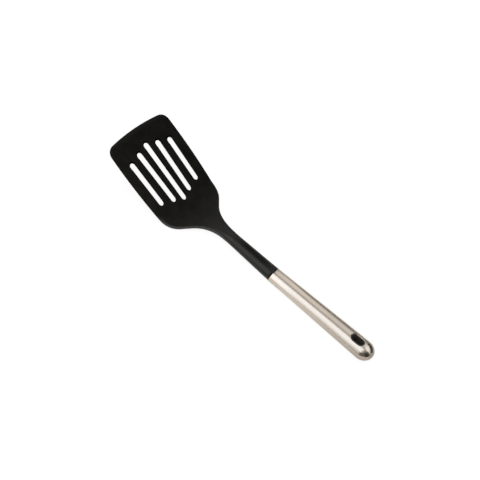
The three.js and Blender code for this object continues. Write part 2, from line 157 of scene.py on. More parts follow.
@dataclass(frozen=True)
class Stadium:
    """Round-ended slot in the plan, its length along X before it is turned; in millimetres."""

    x: float
    y: float
    length: float
    width: float
    turn: float = 0.0  # radians
    arc_steps: int = 16
    margin: float = 4.0  # of the skin round the slot that its walls may cut
    turn_room: float = 0.05  # breadth that the turn may take up, over the reach

    def grown(self, by: float) -> "Stadium":
        """The same slot with its outline moved outwards."""
        return replace(self, length=self.length + 2 * by, width=self.width + 2 * by)

    def along(self) -> Vector:
        """Unit direction of the slot's length."""
        return direction(self.turn)

    def ends(self) -> tuple[Vector, Vector]:
        """Centres of the round ends.

        Returns:
            The rear one and the front one.
        """
        reach = self.along() * (self.length - self.width) / 2
        middle = Vector((self.x, self.y, 0.0))
        return middle - reach, middle + reach

    def inward(self, point: Vector) -> Vector:
        """Direction in the plan from a point to the slot's middle line.

        Args:
            point: A point on the slot's outline.

        Returns:
            The unit direction towards the nearest place on the line between the round ends' centres.
        """
        rear, front = self.ends()
        run = front - rear
        flat = Vector((point.x, point.y, 0.0))
        part = clamped((flat - rear).dot(run) / run.length_squared)
        return (rear + run * part - flat).normalized()

    def walls(self) -> list[tuple[Vector, Vector]]:
        """Upright planes round the slot.

        Returns:
            A point and the outward normal of each flat of the outline.
        """
        rear, front = self.ends()
        side = Vector((-self.along().y, self.along().x, 0.0))
        radius = self.width / 2
        planes = [(front + side * radius, side), (front - side * radius, -side)]
        step = math.pi / self.arc_steps
        for centre, facing in ((front, 0.0), (rear, math.pi)):
            for k in range(self.arc_steps):
                normal = direction(self.turn + facing - math.pi / 2 + step * (k + 0.5))
                planes.append((centre + normal * radius * math.cos(step / 2), normal))
        return planes

    def near(self, face: BMFace) -> bool:
        """Whether a face lies in the rectangle round the slot.

        Args:
            face: Face of the skin that the slot is cut in.

        Returns:
            True where the slot's walls may cut the face.
        """
        place = face.calc_center_median()
        reach = self.length / 2 + self.margin
        breadth = self.width / 2 + self.margin + reach * self.turn_room
        return abs(place.x - self.x) < reach and abs(place.y - self.y) < breadth

    def open_in(self, bm: BMesh, faces: list[BMFace]) -> Rim:
        """Cuts the slot's outline into faces and takes out what lies inside it.

        Args:
            bm: Mesh to cut.
            faces: Faces that the outline crosses.

        Returns:
            The edges of the opening.
        """
        inside = faces
        for place, normal in self.walls():
            edges = {edge for face in inside for edge in face.edges}
            verts = {vert for face in inside for vert in face.verts}
            cut = bmesh.ops.bisect_plane(
                bm, geom=[*inside, *edges, *verts], dist=WELD, plane_co=place, plane_no=normal,
            )
            split = made_of(BMFace, cut["geom"])
            inside = [face for face in split if (face.calc_center_median() - place).dot(normal) < 0]
        kept = set(inside)
        rim = [
            edge for edge in {edge for face in inside for edge in face.edges}
            if any(face not in kept for face in edge.link_faces)
        ]
        bmesh.ops.delete(bm, geom=inside, context="FACES")
        return rim

    def extend(self, bm: BMesh, rim: Rim, inward: float, deeper: float = 0.0) -> Rim:
        """Extrudes an opening's edges by one step.

        Args:
            bm: Mesh that the opening is in.
            rim: Edges of the opening.
            inward: Distance towards the slot's middle line.
            deeper: Distance along Z.

        Returns:
            The edges of the extruded rim.
        """
        verts, edges = extrude_rim(bm, rim)
        for vert in verts:
            vert.co += self.inward(vert.co) * inward + Vector((0.0, 0.0, deeper))
        return edges

    def roll(self, bm: BMesh, rim: Rim, radius: float, side: Side, steps: int = 4) -> Rim:
        """Rounds an opening's edges inwards over a quarter circle.

        Args:
            bm: Mesh that the opening is in.
            rim: Edges of the opening.
            radius: Radius of the rounding.
            side: The side that the opening is in.
            steps: Flats in the quarter circle.

        Returns:
            The edges at the rounding's inner end.
        """
        turns = quarter_turn(steps)
        for here, there in zip(turns, turns[1:]):
            inward = radius * (math.cos(here) - math.cos(there))
            deeper = -side.value * radius * (math.sin(there) - math.sin(here))
            rim = self.extend(bm, rim, inward, deeper)
        return rim


# Finishes


@dataclass(frozen=True)
class Pattern:
    """A noise pattern in a piece's object coordinates."""

    scale: float  # features in a metre
    detail: float
    rough: float
    stretch: Triple = (1.0, 1.0, 1.0)  # share of the scale along each axis


class NodeBoard:
    """The node tree of a material or the world, with short ways to add and join nodes."""

    def __init__(self, owner: Material | World) -> None:
        """Starts the owner's tree with its usual nodes.

        Args:
            owner: Material or world that the tree belongs to.
        """
        self.owner = owner
        owner.use_nodes = True
        self.tree = owner.node_tree

    @classmethod
    def for_material(cls, name: str) -> "NodeBoard":
        """The board of a new material."""
        return cls(bpy.data.materials.new(name))

    def feed(self, node: Node | str, socket: str | int, value: Input) -> None:
        """Gives a socket another node's output, a colour or a number.

        Args:
            node: The node, or the name of one of the usual nodes.
            socket: Name or number of its input.
            value: What the input gets.
        """
        target = (self.tree.nodes[node] if isinstance(node, str) else node).inputs[socket]
        if isinstance(value, NodeSocket):
            self.tree.links.new(value, target)
        elif target.type == "RGBA":
            target.default_value = (*value, 1.0)
        else:
            target.default_value = value

    def shade(self, **inputs: Input) -> None:
        """Feeds inputs of the material's shader, by their names with underscores for spaces."""
        for name, value in inputs.items():
            self.feed("Principled BSDF", name.replace("_", " "), value)

    def add(self, kind: str, **settings: Input | str) -> Node:
        """Adds a node.

        Args:
            kind: Node type.
            **settings: Properties and inputs of the node; inputs' names have underscores for spaces.

        Returns:
            The node.
        """
        node = self.tree.nodes.new(kind)
        for key, value in settings.items():
            socket = key.replace("_", " ")
            if socket in node.inputs:
                self.feed(node, socket, value)
            else:
                setattr(node, key, value)
        return node

    def noise(self, pattern: Pattern) -> NodeSocket:
        """A noise pattern on the piece.

        Args:
            pattern: Its size and character.

        Returns:
            Output with the noise's value.
        """
        place = self.add("ShaderNodeTexCoord").outputs["Object"]
        mapped = self.add("ShaderNodeMapping", Vector=place, Scale=pattern.stretch).outputs["Vector"]
        node = self.add(
            "ShaderNodeTexNoise",
            Vector=mapped,
            Scale=pattern.scale,
            Detail=pattern.detail,
            Roughness=pattern.rough,
        )
        return node.outputs["Fac"]

    def ranged(self, value: NodeSocket, source: Pair, target: Pair = (0.0, 1.0)) -> NodeSocket:
        """A value mapped from one range to another, held at its ends.

        Args:
            value: Output with the value.
            source: Values that the range starts and ends at.
            target: Values that they are mapped to.

        Returns:
            Output with the mapped value.
        """
        node = self.add(
            "ShaderNodeMapRange",
            Value=value,
            From_Min=source[0],
            From_Max=source[1],
            To_Min=target[0],
            To_Max=target[1],
        )
        return node.outputs["Result"]

    def larger(self, first: NodeSocket, second: NodeSocket) -> NodeSocket:
        """The larger of two values.

        Args:
            first: Output with one value.
            second: Output with the other.

        Returns:
            Output with the larger one.
        """
        node = self.add("ShaderNodeMath", operation="MAXIMUM")
        for number, value in enumerate((first, second)):
            self.feed(node, number, value)
        return node.outputs[0]

    def attribute(self, layer: Layer) -> NodeSocket:
        """A number that the piece's mesh carries."""
        return self.add("ShaderNodeAttribute", attribute_name=layer.value).outputs["Fac"]

    def blend(self, part: NodeSocket, low: Input, high: Input) -> NodeSocket:
        """A colour between two.

        Args:
            part: Output with the factor.
            low: Colour at 0, or an output with it.
            high: Colour at 1, or an output with it.

        Returns:
            Output with the colour.
        """
        node = self.add("ShaderNodeMix", data_type="RGBA", Factor=part)
        ends = [number for number, socket in enumerate(node.inputs) if socket.type == "RGBA"]
        for number, colour in zip(ends, (low, high)):
            self.feed(node, number, colour)
        return next(socket for socket in node.outputs if socket.type == "RGBA")

    def bump(self, height: NodeSocket, strength: float, distance: float) -> NodeSocket:
        """A normal with fine relief.

        Args:
            height: Output with the relief's height.
            strength: Share of the relief that shows.
            distance: Depth of the relief in metres.

        Returns:
            Output with the normal.
        """
        node = self.add("ShaderNodeBump", Strength=strength, Distance=distance, Height=height)
        return node.outputs["Normal"]


@dataclass(frozen=True)
class MouldedFinish:
    """Moulded nylon or silicone: faint clouds in colour and gloss over a fine spark-eroded grain, and
    where given a painted highlight along the front edge.
    """

    name: str
    dark: Triple
    light: Triple
    gloss: Pair  # roughness, least and most
    specular: float
    polish: float = 0.0  # weight of the gloss coat where the mesh is polished
    polish_gloss: float = 0.28  # its roughness
    front: Triple | None = None  # painted highlight colour along the front edge, where its rounding would catch the light
    clouds: Pattern = Pattern(160.0, 3.0, 0.6)
    colour_clouds: Pair = (0.35, 0.65)  # noise where the colour is darkest and lightest
    gloss_clouds: Pair = (0.3, 0.7)  # noise where the roughness is least and most
    grain: Pattern = Pattern(1500.0, 2.0, 0.5)
    relief: float = 0.12
    relief_depth: float = 0.0001  # metres

    def material(self) -> Material:
        """Makes the material.

        Returns:
            The finish as a material.
        """
        board = NodeBoard.for_material(self.name)
        clouds = board.noise(self.clouds)
        colour = board.blend(board.ranged(clouds, self.colour_clouds), self.dark, self.light)
        # painted highlight along the blade's front edge
        if self.front is not None:
            colour = board.blend(board.attribute(Layer.FRONT_HIGHLIGHT), colour, self.front)
        if self.polish > 0:
            coat = board.ranged(board.attribute(Layer.POLISH), (0.0, 1.0), (0.0, self.polish))
            board.shade(Coat_Weight=coat, Coat_Roughness=self.polish_gloss)
        board.shade(
            Base_Color=colour,
            Roughness=board.ranged(clouds, self.gloss_clouds, self.gloss),
            Specular_IOR_Level=self.specular,
            Normal=board.bump(board.noise(self.grain), self.relief, self.relief_depth),
        )
        return board.owner


@dataclass(frozen=True)
class DrawnSteel:
    """Satin steel: fine lengthwise polishing lines in gloss and relief, and faint smears in colour."""

    name: str
    dark: Triple
    light: Triple
    gloss: Pair  # roughness, least and most
    relief: float
    relief_depth: float = 0.00002  # metres
    lines: Pattern = Pattern(2600.0, 3.0, 0.6, stretch=(0.02, 1.0, 1.0))
    smears: Pattern = Pattern(90.0, 2.0, 0.5, stretch=(0.3, 1.0, 1.0))
    reach: Pair = (0.3, 0.7)  # noise where colour and roughness are least and most

    def material(self) -> Material:
        """Makes the material.

        Returns:
            The finish as a material.
        """
        board = NodeBoard.for_material(self.name)
        lines = board.noise(self.lines)
        smears = board.noise(self.smears)
        board.shade(
            Base_Color=board.blend(board.ranged(smears, self.reach), self.dark, self.light),
            Roughness=board.ranged(lines, self.reach, self.gloss),
            Metallic=1.0,
            Normal=board.bump(lines, self.relief, self.relief_depth),
        )
        return board.owner


Finish = MouldedFinish | DrawnSteel

HEAD_NYLON = MouldedFinish(
    "black_nylon_moulding",
    dark=(0.0024, 0.0021, 0.0015),
    light=(0.0054, 0.0049, 0.0036),
    gloss=(0.5, 0.6),
    specular=0.05,
    polish=0.92,
    # painted highlight along the blade's front edge
    front=(0.0075, 0.007, 0.0055),
    clouds=Pattern(100.0, 3.0, 0.6),
)
# Near-black painted shade for the walls and ramps at the slots' front ends, which lie in shadow; not a
# colour of the nylon.
SLOT_END_PAINTED_SHADE = MouldedFinish(
    "black_nylon_painted_slot_shade",
    dark=(0.0005, 0.0005, 0.0004),
    light=(0.0008, 0.0008, 0.0006),
    gloss=(0.7, 0.8),
    specular=0.0,
)
LINER_NYLON = MouldedFinish(
    "black_nylon_liner",
    dark=(0.037, 0.032, 0.026),
    light=(0.051, 0.045, 0.037),
    gloss=(0.45, 0.55),
    specular=0.1,
)
CORE_NYLON = MouldedFinish(
    "grey_nylon_core",
    dark=(0.036, 0.035, 0.032),
    light=(0.05, 0.048, 0.044),
    gloss=(0.5, 0.62),
    specular=0.5,
)
SEAL_SILICONE = MouldedFinish(
    "silicone_ring",
    dark=(0.018, 0.018, 0.018),
    light=(0.028, 0.028, 0.028),
    gloss=(0.7, 0.85),
    specular=0.3,
)
HANDLE_STEEL = DrawnSteel(
    "satin_drawn_steel",
    dark=(0.56, 0.495, 0.42),
    light=(0.59, 0.522, 0.445),
    gloss=(0.17, 0.23),
    relief=0.05,
)
PLATED_STEEL = DrawnSteel(
    "zinc_plated_steel",
    dark=(0.38, 0.38, 0.37),
    light=(0.45, 0.45, 0.43),
    gloss=(0.35, 0.48),
    relief=0.1,
)


# Pieces, in the tool's own axes: X forwards along the handle from its mouth, Z up, in millimetres


def link_mesh(name: str, bm: BMesh) -> Object:
    """Puts a mesh in the scene.

    Args:
        name: Name of the object.
        bm: Its mesh, which is freed.

    Returns:
        The object.
    """
    mesh = bpy.data.meshes.new(name)
    bm.to_mesh(mesh)
    bm.free()
    made = bpy.data.objects.new(name, mesh)
    bpy.context.collection.objects.link(made)
    return made


def finish_piece(
    name: str, bm: BMesh, lie: Matrix, finishes: list[Finish], slot: Slot, *nodes: str,
) -> Object:
    """Turns a mesh into a finished piece that stands for CAD nodes.

    Args:
        name: Name of the piece.
        bm: Its mesh in the tool's axes, which is freed.
        lie: Matrix from the tool's axes to the frame.
        finishes: Its finishes, in the order of the faces' material numbers.
        slot: The record's material slot; not used.
        *nodes: CAD nodes that the piece replaces.

    Returns:
        The piece's object.
    """
    bmesh.ops.transform(bm, matrix=lie, verts=bm.verts)
    bmesh.ops.recalc_face_normals(bm, faces=bm.faces)
    for face in bm.faces:
        face.smooth = True
    piece = link_mesh(name, bm)
    for finish in finishes:
        piece.data.materials.append(finish.material())
    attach(piece, BODY)
    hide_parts(*nodes)
    LOG.info("%s: %d faces", name, len(piece.data.polygons))
    return piece


@dataclass(frozen=True)
class MidLine:
    """The moulding's mid-line, from the handle's mouth to the blade's front."""

    joint_blend: float = 6.0
    dip_start: float = 66.5
    bend_start: float = 101.0
    bend_length: float = 22.5
    head_length: float = 211.4
    shaft_rise: float = 2.5  # degrees
    dip_angle: float = -12.0
    blade_rise: float = 25.0

    def bend_end(self) -> float:
        """Station where the flat blade begins."""
        return self.bend_start + self.bend_length

    def runs(self) -> list[Pair]:
        """Arcs of the line.

        Returns:
            Length and turn of each arc.
        """
        return [
            (self.joint_blend, math.radians(self.shaft_rise)),
            (self.dip_start - self.joint_blend, 0.0),
            (self.bend_start - self.dip_start, math.radians(self.dip_angle - self.shaft_rise)),
            (self.bend_length, math.radians(self.blade_rise - self.dip_angle)),
            (self.head_length - self.bend_end(), 0.0),
        ]

    def at(self, station: float) -> Triple:
        """Place and direction at a distance from the handle's mouth.

        Args:
            station: Distance along the line; the tang's are negative.

        Returns:
            X, Z and the angle above the handle's axis.
        """
        if station <= 0:
            return station, 0.0, 0.0
        x, z, angle = 0.0, 0.0, 0.0
        left = station
        for length, turn in self.runs():
            run = min(left, length)
            part = turn * run / length
            chord = run if part == 0 else run * math.sin(part / 2) / (part / 2)
            x += chord * math.cos(angle + part / 2)
            z += chord * math.sin(angle + part / 2)
            angle += part
            left -= run
            if left <= 0:
                break
        return x, z, angle


@dataclass
class BladePlan:
    """The moulding's outline in the plan: shaft, neck, flare, shoulder, side, corner and front."""

    head_length: float
    shaft_half_width: float = 8.65
    neck_half_width: float = 6.95
    flare_start: float = 63.5
    neck_fillet: float = 38.0
    shoulder_radius: float = 28.0
    shoulder_at: float = 118.5
    half_width: float = 42.35
    widest_to_front: float = 29.0
    side_radius: float = 630.0
    front_radius: float = 246.0
    corner_radius: float = 10.4
    patch_margin: float = 6.0  # from the front patch's start to that of the corners

    def __post_init__(self) -> None:
        """Works out the arcs' centres and the points where they meet."""
        widest_at = self.head_length - self.widest_to_front
        self.side_centre = Vector((widest_at, self.half_width - self.side_radius))
        self.front_centre = Vector((self.head_length - self.front_radius, 0.0))
        self.neck_centre = Vector((self.flare_start, self.neck_half_width + self.neck_fillet))
        self.shoulder_centre = self.find_shoulder()
        self.flare = self.find_flare()
        outward = Vector((-math.sin(self.flare), math.cos(self.flare)))
        self.flare_from = self.neck_centre - outward * self.neck_fillet
        self.flare_to = self.shoulder_centre + outward * self.shoulder_radius
        self.corner_centre = self.find_corner()
        self.corner_from = self.through_corner(self.side_centre, self.side_radius)
        self.corner_to = self.through_corner(self.front_centre, self.front_radius)
        self.corner_start = math.atan2(*(self.corner_from - self.corner_centre).yx)
        self.corner_end = math.atan2(*(self.corner_to - self.corner_centre).yx)
        self.corner_middle = (self.corner_start + self.corner_end) / 2
        self.patch_start = self.corner_from.x - self.patch_margin

    def find_shoulder(self) -> Vector:
        """Works out the shoulder's arc, which runs on from the side's.

        Returns:
            The arc's centre.
        """
        height = arc_height(self.shoulder_at, self.side_centre, self.side_radius)
        side_end = Vector((self.shoulder_at, height))
        return side_end + (self.side_centre - side_end).normalized() * self.shoulder_radius

    def find_flare(self) -> float:
        """Works out the straight flare, which touches the neck's fillet and the shoulder.

        Returns:
            The flare's angle from the mid-line.
        """
        apart = self.neck_centre - self.shoulder_centre
        lean = math.acos(min((self.neck_fillet + self.shoulder_radius) / apart.length, 1.0))
        return -lean - math.atan2(apart.x, apart.y)

    def find_corner(self) -> Vector:
        """Works out the corner's arc, which touches the side's and the front's from inside.

        Returns:
            The arc's centre.
        """
        to_front = self.front_radius - self.corner_radius
        to_side = self.side_radius - self.corner_radius
        between = self.side_centre - self.front_centre
        foot = (to_front**2 - to_side**2 + between.length_squared) / (2 * between.length)
        unit = between.normalized()
        rise = math.sqrt(to_front**2 - foot**2)
        return self.front_centre + unit * foot + Vector((-unit.y, unit.x)) * rise

    def through_corner(self, centre: Vector, radius: float) -> Vector:
        """Point of another arc where the corner's arc touches it."""
        return centre + (self.corner_centre - centre).normalized() * radius

    def shaft_width(self, station: float) -> float:
        """Half width of the shaft before the neck flares."""
        return lerp(self.shaft_half_width, self.neck_half_width, clamped(station / self.flare_start))

    def width(self, station: float) -> float:
        """Half width of the moulding, up to the front corners.

        Args:
            station: Distance from the handle's mouth.

        Returns:
            The half width there.
        """
        if station <= self.flare_start:
            return self.shaft_width(station)
        if station <= self.flare_from.x:
            return arc_height(station, self.neck_centre, -self.neck_fillet)
        if station <= self.flare_to.x:
            return self.flare_from.y + math.tan(self.flare) * (station - self.flare_from.x)
        if station <= self.shoulder_at:
            return arc_height(station, self.shoulder_centre, self.shoulder_radius)
        return arc_height(station, self.side_centre, self.side_radius)

    def corner_point(self, angle: float) -> Vector:
        """Point on the corner's arc."""
        return self.corner_centre + direction(angle).xy * self.corner_radius

    def side_edge(self, part: float) -> Vector:
        """Point on the edge beside the front patch.

        Args:
            part: From 0 at the patch's start to 1 at the corner's middle.

        Returns:
            The point.
        """
        straight = self.corner_from.x - self.patch_start
        turned = self.corner_radius * (self.corner_start - self.corner_middle)
        gone = part * (straight + turned)
        if gone <= straight:
            return Vector((self.patch_start + gone, self.width(self.patch_start + gone)))
        return self.corner_point(self.corner_start - (gone - straight) / self.corner_radius)

    def front_edge(self, across: float) -> Vector:
        """Point on the front outline.

        Args:
            across: From -1 at the middle of one corner to 1 at that of the other.

        Returns:
            The point.
        """
        curved = self.front_radius * math.asin(self.corner_to.y / self.front_radius)
        turned = self.corner_radius * (self.corner_middle - self.corner_end)
        gone = abs(across) * (curved + turned)
        if gone <= curved:
            point = self.front_centre + direction(gone / self.front_radius).xy * self.front_radius
        else:
            point = self.corner_point(self.corner_end + (gone - curved) / self.corner_radius)
        return Vector((point.x, math.copysign(point.y, across)))

    def front_patch(self, across: float, part: float) -> Pair:
        """Place in the blade's rounded front end, blended from its four edges.

        Args:
            across: From -1 to 1.
            part: From 0 at the straight line where the patch starts to 1 at the front outline.

        Returns:
            Station and offset across.
        """
        half_width = self.width(self.patch_start)
        start = Vector((self.patch_start, across * half_width))
        left = self.side_edge(part)
        right = left * Vector((1.0, -1.0))
        share = (1 + across) / 2
        corners = (
            Vector((self.patch_start, half_width)) * share * (1 - part)
            + Vector((self.patch_start, -half_width)) * (1 - share) * (1 - part)
            + self.front_edge(1.0) * share * part
            + self.front_edge(-1.0) * (1 - share) * part
        )
        edges = start * (1 - part) + self.front_edge(across) * part + left * share + right * (1 - share)
        point = edges - corners
        return point.x, point.y


@dataclass(frozen=True)
class SkinRow:
    """One row of points round the moulding."""

    station: float
    patch: float = 0.0  # part of the way through the front patch
    share: float = 1.0  # of the thickness


@dataclass
class SlottedHead:
    """Nylon blade, neck, shaft and tang in one moulding."""

    line: MidLine
    plan: BladePlan
    shaft_oval: float = 0.69
    heel_thickness: float = 3.4
    tip_thickness: float = 1.6
    thinning_start: float = 52.5
    thinning_end: float = 104.0
    oval_power: float = 2.0  # power of the shaft's oval section
    flat_power: float = 10.0  # power of the blade's squared section
    slot_width: float = 6.4
    slot_centre: float = 157.65
    slot_length: float = 70.7  # of the middle slot
    slot_step: float = 9.0  # how much shorter each slot is than its neighbour nearer the middle
    slot_offsets: Triple = (0.0, 12.7, 27.15)  # from the mid-line, on both sides
    slot_fan: float = 1.9  # degrees that the side slots turn
    slot_rim: float = 0.45  # radius of the slots' edges
    ramp_length: float = 1.3  # of the short ramp on the top face into each slot's front end; it takes the painted shade
    ramp_depth: float = 0.35
    ramp_seam: float = 0.02  # depth where there is no ramp
    ramp_start: float = 4.0  # distance behind the end's centre where the ramp begins
    joint_gap: float = 0.3  # between the handle's mouth and the shaft's shoulder
    tang_half_width: float = 7.6
    tang_half_height: float = 4.96
    tang_seat: float = 34.0  # distance behind the mouth where the tang steps down to its spigot
    tang_end: float = 61.0
    spigot_scale: float = 0.78
    polish_fade: Pair = (58.0, 130.0)  # stations where the shaft's polish starts to end and ends
    edge_fade: Pair = (0.95, 0.99)  # shares of the half width where the edge's polish starts and is full
    edge_end: Pair = (112.0, 128.0)  # stations where it starts to end and ends
    front_highlight_fade: Pair = (1.0, 6.0)  # distances from the front edge where the painted highlight starts to end and ends
    shaft_polish: float = 0.5  # X of the inward directions of the slots' front ends, whose walls take the painted shade
    shaded_end: float = -0.4  # X of the inward directions of the slots' front ends
    face_rise: float = 0.5  # least Z of the normals of the faces that the slots open in
    points_across: int = 72
    crowding: float = 0.72  # how much closer together the points are towards the walls
    wall_steps: int = 4
    shaft_rows: int = 22
    neck_rows: int = 72
    blade_rows: int = 40
    front_rows: int = 14
    nose_steps: int = 6

    def flatness(self, station: float) -> float:
        """How far the section has changed from the shaft's oval to the blade's plate."""
        return smoothstep(station, self.thinning_start, self.thinning_end)

    def half_thickness(self, station: float) -> float:
        """Half thickness of the moulding on its mid-line.

        Args:
            station: Distance from the handle's mouth.

        Returns:
            The half thickness there.
        """
        shaft = self.plan.shaft_width(station) * self.shaft_oval
        length = self.line.head_length - self.thinning_end
        towards_tip = clamped((station - self.thinning_end) / length)
        blade = lerp(self.heel_thickness, self.tip_thickness, towards_tip) / 2
        return lerp(shaft, blade, self.flatness(station))

    def section(self) -> list[Pair]:
        """Points round a square section, from the middle of one side wall and back to it.

        Returns:
            Across and up, each from -1 to 1; the points are closer together towards the walls.
        """
        wall = [math.sin(turn) for turn in quarter_turn(self.wall_steps)[:-1]]
        turns = [2 * math.pi * k / self.points_across for k in range(self.points_across + 1)]
        top = [1 - (turn - self.crowding * math.sin(turn)) / math.pi for turn in turns]
        upper = [(1.0, up) for up in wall]
        upper += [(y, 1.0) for y in top]
        upper += [(-1.0, up) for up in reversed(wall)]
        lower = [(-y, -z) for y, z in upper[1:]]
        return upper + lower

    def rows(self) -> list[SkinRow]:
        """Rows of the skin.

        Returns:
            The rows from the joint to the front edge.
        """
        start = self.plan.patch_start
        stations = [
            *spread(self.joint_gap, self.thinning_start, self.shaft_rows),
            *spread(self.thinning_start, self.line.bend_end(), self.neck_rows),
            *spread(self.line.bend_end(), start, self.blade_rows),
        ]
        nose = self.tip_thickness / 2 / (self.line.head_length - start)
        rows = [SkinRow(station) for station in stations]
        rows += [SkinRow(start, patch) for patch in spread(0.0, 1 - nose, self.front_rows)]
        rows += [
            SkinRow(start, 1 - nose * (1 - math.sin(turn)), math.cos(turn))
            for turn in quarter_turn(self.nose_steps)
        ]
        return rows

    def polish(self, station: float, across: float) -> float:
        """Gloss of the moulding: polished on its shaft and edges, matt on the blade.

        Args:
            station: Distance from the handle's mouth.
            across: Offset over the half width.

        Returns:
            From 0 to 1.
        """
        start, end = self.polish_fade
        shaft = clamped((end - station) / (end - start))
        edge = smoothstep(abs(across), *self.edge_fade) * (1 - smoothstep(station, *self.edge_end))
        return max(shaft**2 * self.shaft_polish, edge)

    def skin(self) -> BMesh:
        """The moulding's skin along a straight mid-line, from the shaft's end to the front edge.

        Returns:
            A mesh with the station along X.
        """
        section, rows = self.section(), self.rows()
        around, along = len(section) - 1, len(rows) - 1
        bm = bmesh.new()
        bmesh.ops.create_grid(bm, x_segments=along, y_segments=around, size=1.0)
        polish = bm.verts.layers.float.new(Layer.POLISH.value)
        front = bm.verts.layers.float.new(Layer.FRONT_HIGHLIGHT.value)
        for vert in bm.verts:
            row = rows[round((vert.co.x + 1) / 2 * along)]
            y, z = section[round((vert.co.y + 1) / 2 * around)]
            power = lerp(self.oval_power, self.flat_power, self.flatness(row.station))
            scale = (abs(y) ** power + abs(z) ** power) ** (-1 / power)
            x, offset = row.station, y * scale * self.plan.width(row.station)
            vert[polish] = self.polish(row.station, y * scale)
            if row.patch > 0:
                x, offset = self.plan.front_patch(y * scale, row.patch)
                # mask of the painted highlight, full at the front edge
                to_front = (1 - row.patch) * (self.line.head_length - row.station)
                vert[front] = 1 - smoothstep(to_front, *self.front_highlight_fade)
            vert.co = (x, offset, z * scale * row.share * self.half_thickness(x))
        bmesh.ops.remove_doubles(bm, verts=bm.verts, dist=WELD)
        bmesh.ops.recalc_face_normals(bm, faces=bm.faces)
        return bm

    def slots(self) -> list[Stadium]:
        """The blade's slots, in a fan.

        Returns:
            The five slots in the plan.
        """
        fan = math.radians(self.slot_fan)
        outermost = len(self.slot_offsets) - 1
        return [
            Stadium(
                self.slot_centre,
                math.copysign(self.slot_offsets[abs(place)], place),
                self.slot_length - self.slot_step * abs(place),
                self.slot_width,
                fan * ((place > 0) - (place < 0)),
            )
            for place in range(-outermost, outermost + 1)
        ]

    def slot_mouth(self, slot: Stadium, side: Side) -> Stadium:
        """Outline of a slot's opening: with its rim, and with its ramp on top.

        Args:
            slot: The slot.
            side: Side of the blade that the opening is in.

        Returns:
            The outline.
        """
        mouth = slot.grown(self.slot_rim)
        if side is Side.UNDER:
            return mouth
        shift = slot.along() * self.ramp_length / 2
        length = mouth.length + self.ramp_length
        return replace(mouth, x=mouth.x + shift.x, y=mouth.y + shift.y, length=length)

    def ramp(self, bm: BMesh, rim: Rim, slot: Stadium) -> Rim:
        """Leads the top face down into a slot's front end.

        Args:
            bm: Mesh that the slot is in.
            rim: Edges of the slot's opening in the top face.
            slot: The slot.

        Returns:
            The edges at the ramp's foot, which follow the slot's rim.
        """
        verts, edges = extrude_rim(bm, rim)
        front = slot.ends()[1]
        for vert in verts:
            ahead = (vert.co - front).dot(slot.along())
            part = smoothstep(ahead, -self.ramp_start, self.ramp_length)
            vert.co -= slot.along() * self.ramp_length * part
            vert.co.z -= lerp(self.ramp_seam, self.ramp_depth, part)
        return edges

    def cut_slot(self, bm: BMesh, slot: Stadium) -> None:
        """Cuts a slot with rounded edges; the walls and ramp of its front end take the second finish, a
        near-black painted shade.

        Args:
            bm: The skin.
            slot: The slot.
        """
        rims = {}
        for side in Side:
            mouth = self.slot_mouth(slot, side)
            faces = [
                face for face in bm.faces
                if face.normal.z * side.value > self.face_rise and mouth.near(face)
            ]
            rims[side] = mouth.open_in(bm, faces)
        skin = set(bm.faces)
        rims[Side.TOP] = self.ramp(bm, rims[Side.TOP], slot)
        ends = []
        for side, rim in rims.items():
            ends += slot.roll(bm, rim, self.slot_rim, side)
        bmesh.ops.bridge_loops(bm, edges=ends)
        # faces at the slots' front ends take the painted shade
        for face in bm.faces:
            if face not in skin:
                face.material_index = int(slot.inward(face.calc_center_median()).x < self.shaded_end)

    def add_tang(self, bm: BMesh) -> None:
        """Carries the shaft's end on as the tang inside the handle.

        Args:
            bm: The skin.
        """
        end = [edge for edge in bm.edges if edge.is_boundary]
        wide = self.tang_half_width / self.plan.shaft_half_width
        high = self.tang_half_height / (self.plan.shaft_half_width * self.shaft_oval)
        steps = (
            (self.joint_gap, wide, high),
            (-self.tang_seat, 1.0, 1.0),
            (-self.tang_seat, self.spigot_scale, self.spigot_scale),
            (-self.tang_end, 1.0, 1.0),
        )
        for station, by_width, by_height in steps:
            verts, end = extrude_rim(bm, end)
            for vert in verts:
                vert.co = (station, vert.co.y * by_width, vert.co.z * by_height)
        bmesh.ops.edgeloop_fill(bm, edges=end)

    def bend(self, bm: BMesh) -> None:
        """Moves the straight skin onto the mid-line.

        Args:
            bm: The skin.
        """
        for vert in bm.verts:
            x, z, angle = self.line.at(vert.co.x)
            up = vert.co.z
            vert.co = (x - up * math.sin(angle), vert.co.y, z + up * math.cos(angle))

    def build(self) -> BMesh:
        """Makes the moulding.

        Returns:
            Its mesh.
        """
        bm = self.skin()
        for slot in self.slots():
            self.cut_slot(bm, slot)
        self.add_tang(bm)
        self.bend(bm)
        return bm

    def dress(self, lie: Matrix) -> Object:
        """The finished piece, laid in the frame."""
        finishes = [HEAD_NYLON, SLOT_END_PAINTED_SHADE]
        return finish_piece("nylon_head", self.build(), lie, finishes, Slot.BLACK_NYLON, "slotted_head")


